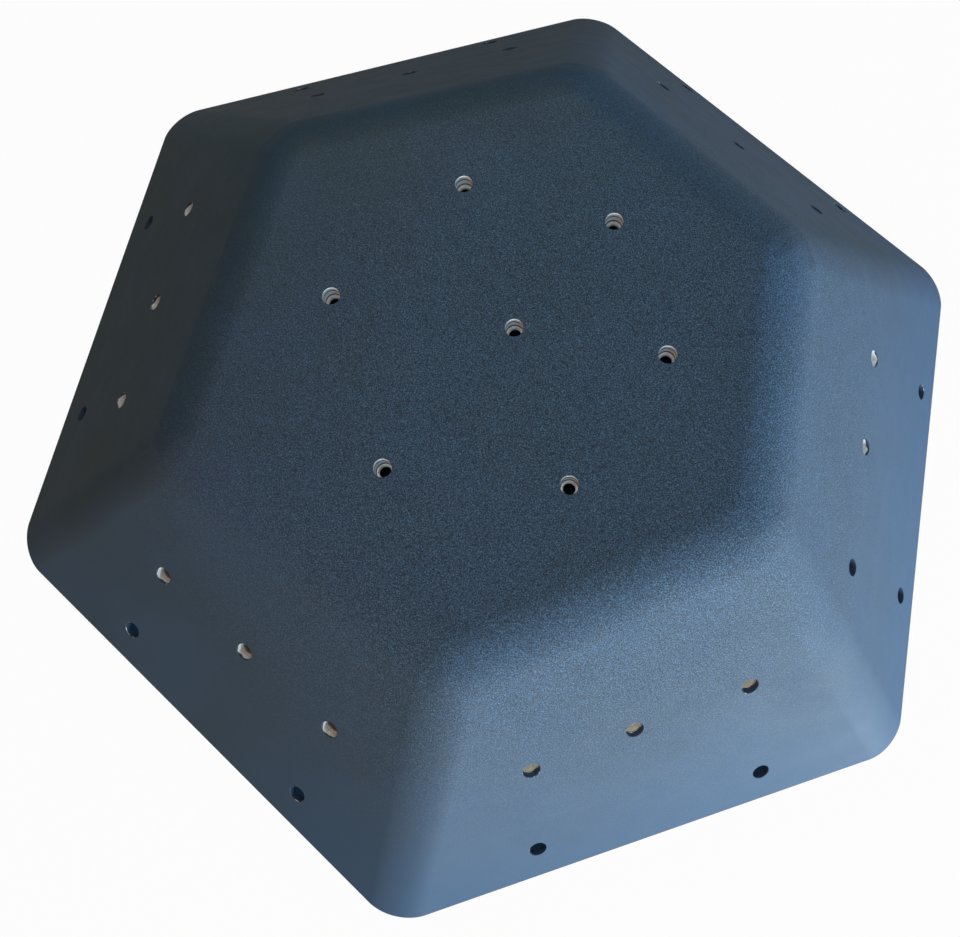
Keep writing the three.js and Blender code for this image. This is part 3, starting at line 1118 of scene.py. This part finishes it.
@dataclass
class TNuts:
    """Four-prong T-nuts, hammered into the pads from behind."""

    drilling: Drilling
    pads: Pads
    barrel_radius: float = 6 * MM
    barrel_length: float = 12 * MM
    core_radius: float = 4.25 * MM
    thread_depth: float = 0.7 * MM
    thread_pitch: float = 1.5 * MM
    lead_in: float = 0.9 * MM
    flange_radius: float = 12.5 * MM
    flange_thickness: float = 1.6 * MM
    prong_width: float = 4.4 * MM
    prong_tip_width: float = 1.2 * MM
    prong_thinning: float = 0.5
    prong_length: float = 7 * MM
    prong_inset: float = 0.8 * MM
    notch_width: float = 2.2 * MM
    notch_depth: float = 3.4 * MM
    edge_break: float = 0.18 * MM
    seat_gap: float = 0.3 * MM
    tolerance: float = 0.1 * MM
    bevelled_from: float = math.radians(50)
    sharp_from: float = 40
    prongs: int = 4
    sides: int = 48

    def build(self) -> None:
        """Builds the T-nuts, each in its pad."""
        master = self._turned()
        self._notch(master)
        prongs = self._prongs()
        for part in (master, prongs):
            apply_modifier(part, "BEVEL", limit_method="ANGLE", angle_limit=self.bevelled_from,
                           width=self.edge_break, segments=2)
        combine(master, prongs, "UNION")
        wear(master, BrightZinc().build())
        smooth(master, self.sharp_from)
        mark(master, "nut", lambda point: (point.xy.length, point.z, 0))
        for name, face, places in self.drilling.rows():
            for number, place in enumerate(places, start=1):
                label = "middle" if number > len(self.drilling.ring) else number
                seat = Matrix.Translation((place.x, place.y, -self.pads.back - self.seat_gap))
                nut = copy_of(master, f"nut_{name}_{label}", face @ seat)
                settle(nut, [f"tnut_{name}_{label}"])
        discard(master)

    def _turned(self) -> Piece:
        """Returns the flange and the threaded barrel, with z = 0 on the flange's front face."""
        nut = cylinder(self.sides, self.flange_radius, self.flange_thickness,
                       (0, 0, -self.flange_thickness / 2))
        edit(nut, "FACE", faces_facing(nut, UP))
        bpy.ops.mesh.inset(thickness=self.flange_radius - self.barrel_radius)
        bpy.ops.mesh.extrude_region_move(TRANSFORM_OT_translate={"value": (0, 0, self.barrel_length)})
        bpy.ops.mesh.inset(thickness=self.barrel_radius - self.core_radius - self.lead_in)
        bpy.ops.mesh.inset(thickness=self.lead_in, depth=-self.lead_in)
        deselect()
        edit(nut, "FACE", faces_facing(nut, -UP))
        bpy.ops.mesh.inset(thickness=self.flange_radius - self.core_radius)
        deselect()
        self._thread(nut)
        return nut

    def _thread(self, nut: Piece) -> None:
        """Bores the nut through and cuts its thread as a row of grooves.

        Args:
            nut: the turned blank, with a disc of the core's size on each end.
        """
        points = nut.data.vertices
        core = {point.index for point in points if point.co.xy.length < self.core_radius + self.tolerance}
        discs = {face.index for face in nut.data.polygons if core.issuperset(face.vertices)}
        length = self.flange_thickness + self.barrel_length - self.lead_in
        cuts = 2 * round(length / self.thread_pitch) - 1
        edit(nut, "FACE", discs)
        bpy.ops.mesh.bridge_edge_loops(number_cuts=cuts, interpolation="LINEAR")
        deselect()
        step = length / (cuts + 1)
        grooves = {point.index for point in nut.data.vertices
                   if point.co.xy.length < self.core_radius + self.tolerance
                   and round((point.co.z + self.flange_thickness) / step) % 2 == 1}
        wider = (self.core_radius + self.thread_depth) / self.core_radius
        edit(nut, "VERT", grooves)
        bpy.ops.transform.resize(value=(wider, wider, 1), center_override=(0, 0, 0))
        deselect()

    def _turns(self) -> list[Matrix]:
        """Returns the turn to each prong."""
        return [Matrix.Rotation((number + 0.5) * 2 * math.pi / self.prongs, 4, "Z")
                for number in range(self.prongs)]

    def _notch(self, nut: Piece) -> None:
        """Cuts the notches that the prongs were bent out of.

        Args:
            nut: the turned blank.
        """
        across = self.prong_width / 2 + self.notch_width / 2
        tool = block((self.notch_depth, self.notch_width, self.barrel_length),
                     (self.flange_radius, across, 0))
        combine(nut, spread(tool, "notch", self._turns()), "DIFFERENCE")

    def _prongs(self) -> Piece:
        """Returns the prongs, each a blade that tapers to its tip, as one object."""
        height = self.prong_length + self.flange_thickness / 2
        outer = self.flange_radius - self.prong_inset
        blade = block((self.flange_thickness, self.prong_width, height),
                      (outer - self.flange_thickness / 2, 0, (height - self.flange_thickness) / 2))
        edit(blade, "FACE", faces_facing(blade, UP))
        bpy.ops.transform.resize(value=(self.prong_thinning, self.prong_tip_width / self.prong_width, 1),
                                 center_override=(outer, 0, 0))
        deselect()
        return spread(blade, "prong", self._turns())


# The studio


@dataclass(frozen=True)
class Lamp:
    """One soft rectangular lamp, which faces the volume. Its angles are in degrees."""

    name: str
    azimuth: float
    elevation: float
    energy: float
    tint: Triple
    height: float = 1.2
    width: float = 1.2
    distance: float = 2.4
    target: Triple = (0.0, 0.0, 0.08)

    def build(self) -> None:
        """Hangs the lamp."""
        light = bpy.data.lights.new(self.name, "AREA")
        light.shape = "RECTANGLE"
        light.size = self.width
        light.size_y = self.height
        light.energy = self.energy
        light.color = self.tint
        lamp = bpy.data.objects.new(self.name, light)
        bpy.context.scene.collection.objects.link(lamp)
        turn, rise = math.radians(self.azimuth), math.radians(self.elevation)
        away = Vector((math.cos(rise) * math.cos(turn), math.cos(rise) * math.sin(turn), math.sin(rise)))
        lamp.location = Vector(self.target) + away * self.distance
        lamp.rotation_euler = away.to_track_quat("Z", "Y").to_euler()


@dataclass
class Studio:
    """The pale floor, the lamps and the camera."""

    floor_size: float = 12.0
    floor_gap: float = 0.2 * MM
    corner_share: float = 0.9
    glow_share: float = 0.97
    black_within: float = 0.7
    gloom_beyond: float = 0.8
    floor_from: Span = (3 * MM, 2 * MM)
    sensor_width: float = 36.0
    room_light: Colour = (1.0, 0.93, 0.84, 1.0)
    room_strength: float = 0.007
    white: Colour = (1.0, 1.0, 1.0, 1.0)
    dim: Colour = (0.32, 0.32, 0.33, 1.0)
    gloom: Colour = paint(14, 32, 46)
    black: Colour = paint(4, 6, 8)
    camera_place: Triple = (0.00207, -0.27995, 0.80089)
    camera_right: Triple = (0.97607, 0.21347, 0.04148)
    camera_down: Triple = (0.21674, -0.9395, -0.26527)
    focal_length: float = 36.70
    lamps: list[Lamp] = field(default_factory=lambda: [
        Lamp("window", -30, 1.5, 49, (0.78, 0.93, 1.0), 0.25),
        Lamp("window_right", 0, 1.5, 33.5, (0.74, 0.89, 1.0), 0.25),
        Lamp("window_far", 30, 1.5, 8.5, (0.72, 0.83, 1.0), 0.25),
        Lamp("window_back", 60, 1.5, 2, (1.0, 0.8, 0.3), 0.25),
        Lamp("window_front", -60, 10, 51, (0.91, 0.99, 1.0), 0.4),
        Lamp("sky_front", -60, 45, 8.5, (0.25, 0.66, 1.0)),
        Lamp("sky_top", 0, 90, 27.5, (1.0, 0.94, 0.84), 2.5, 2.5),
        Lamp("sky_back", 60, 45, 13.5, (0.28, 0.58, 1.0)),
        Lamp("room_back", 120, 45, 7.8, (1.0, 0.9, 0.12)),
        Lamp("room_left", -155, 45, 6.5, (1.0, 0.16, 0.01)),
        Lamp("warm_front", -100, 10, 10, (1.0, 0.6, 0.15), 0.4),
        Lamp("warm_left", -140, 10, 4, (1.0, 0.45, 0.05), 0.4),
    ])

    def build(self) -> None:
        """Builds the studio."""
        self._floor()
        for lamp in self.lamps:
            lamp.build()
        self._camera()
        self._world()
        bpy.context.scene.view_settings.view_transform = "Standard"

    def _floor(self) -> None:
        """Lays the floor: white to the camera with a shadow, and under the volume painted shade, black and
        dark navy near the rim.
        """
        bpy.ops.mesh.primitive_plane_add(size=self.floor_size, location=(0, 0, -self.floor_gap))
        floor = bpy.context.object
        floor.name = "studio_floor"
        graph = Graph.material("studio_floor")
        plain = graph.value("ShaderNodeBsdfDiffuse", 0, {"Color": self.dim})
        edge = Form().rim_apothem
        reach = self._rim_reach(graph)
        # Painted shade: under the volume the floor glows black, and dark navy near the rim, for the shaded
        # hollow behind the holes.
        out = graph.ramp(reach, self.black_within * edge, self.gloom_beyond * edge)
        under = graph.blend(out, self.black, self.gloom)
        open_floor = graph.ramp(reach, *(edge - tucked for tucked in self.floor_from))
        shown = graph.blend(open_floor, under, self.white)
        glow = graph.value("ShaderNodeEmission", 0, {"Color": shown, "Strength": 1.0})
        graph.split("ShaderNodeOutputMaterial", graph.seen() * self.glow_share, plain, glow)
        wear(floor, graph.owner)

    def _rim_reach(self, graph: Graph) -> Value:
        """Measures how far out each point of the floor is.

        Args:
            graph: the graph of the floor's material.

        Returns:
            The distance across the rim's sides and, for its round corners, all round.
        """
        point = graph.place()
        reach = graph.measure("LENGTH", point) * self.corner_share
        for flank in (Flank.F, Flank.E, Flank.D):
            reach = reach.math("MAXIMUM", graph.measure("DOT_PRODUCT", point, flank.outward).math("ABSOLUTE"))
        return reach

    def _camera(self) -> None:
        """Sets the camera up where the photograph was taken from."""
        data = bpy.data.cameras.new("camera")
        data.sensor_fit = "HORIZONTAL"
        data.sensor_width = self.sensor_width
        data.lens = self.focal_length
        data.clip_start = 10 * MM
        camera = bpy.data.objects.new("camera", data)
        bpy.context.scene.collection.objects.link(camera)
        right = Vector(self.camera_right).normalized()
        down = Vector(self.camera_down)
        upward = -(down - right * down.dot(right)).normalized()
        turn = Matrix((right, upward, right.cross(upward))).transposed()
        camera.matrix_world = Matrix.Translation(self.camera_place) @ turn.to_4x4()
        bpy.context.scene.camera = camera

    def _world(self) -> None:
        """Gives the room a weak warm light, white to the camera."""
        world = bpy.data.worlds.new("room")
        bpy.context.scene.world = world
        graph = Graph(world)
        room, white = (graph.value("ShaderNodeBackground", 0, {"Color": colour, "Strength": strength})
                       for colour, strength in ((self.room_light, self.room_strength), (self.white, 1.0)))
        graph.split("ShaderNodeOutputWorld", graph.seen(), room, white)


def main() -> None:
    """Builds the volume and its studio."""
    logging.basicConfig(level=logging.INFO, format="%(name)s: %(message)s")
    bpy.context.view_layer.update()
    form = Form()
    drilling = Drilling(form)
    Skin(form, drilling).build()
    pads = Pads(form, drilling)
    pads.build()
    TNuts(drilling, pads).build()
    Studio().build()


if __name__ == "__main__":
    main()
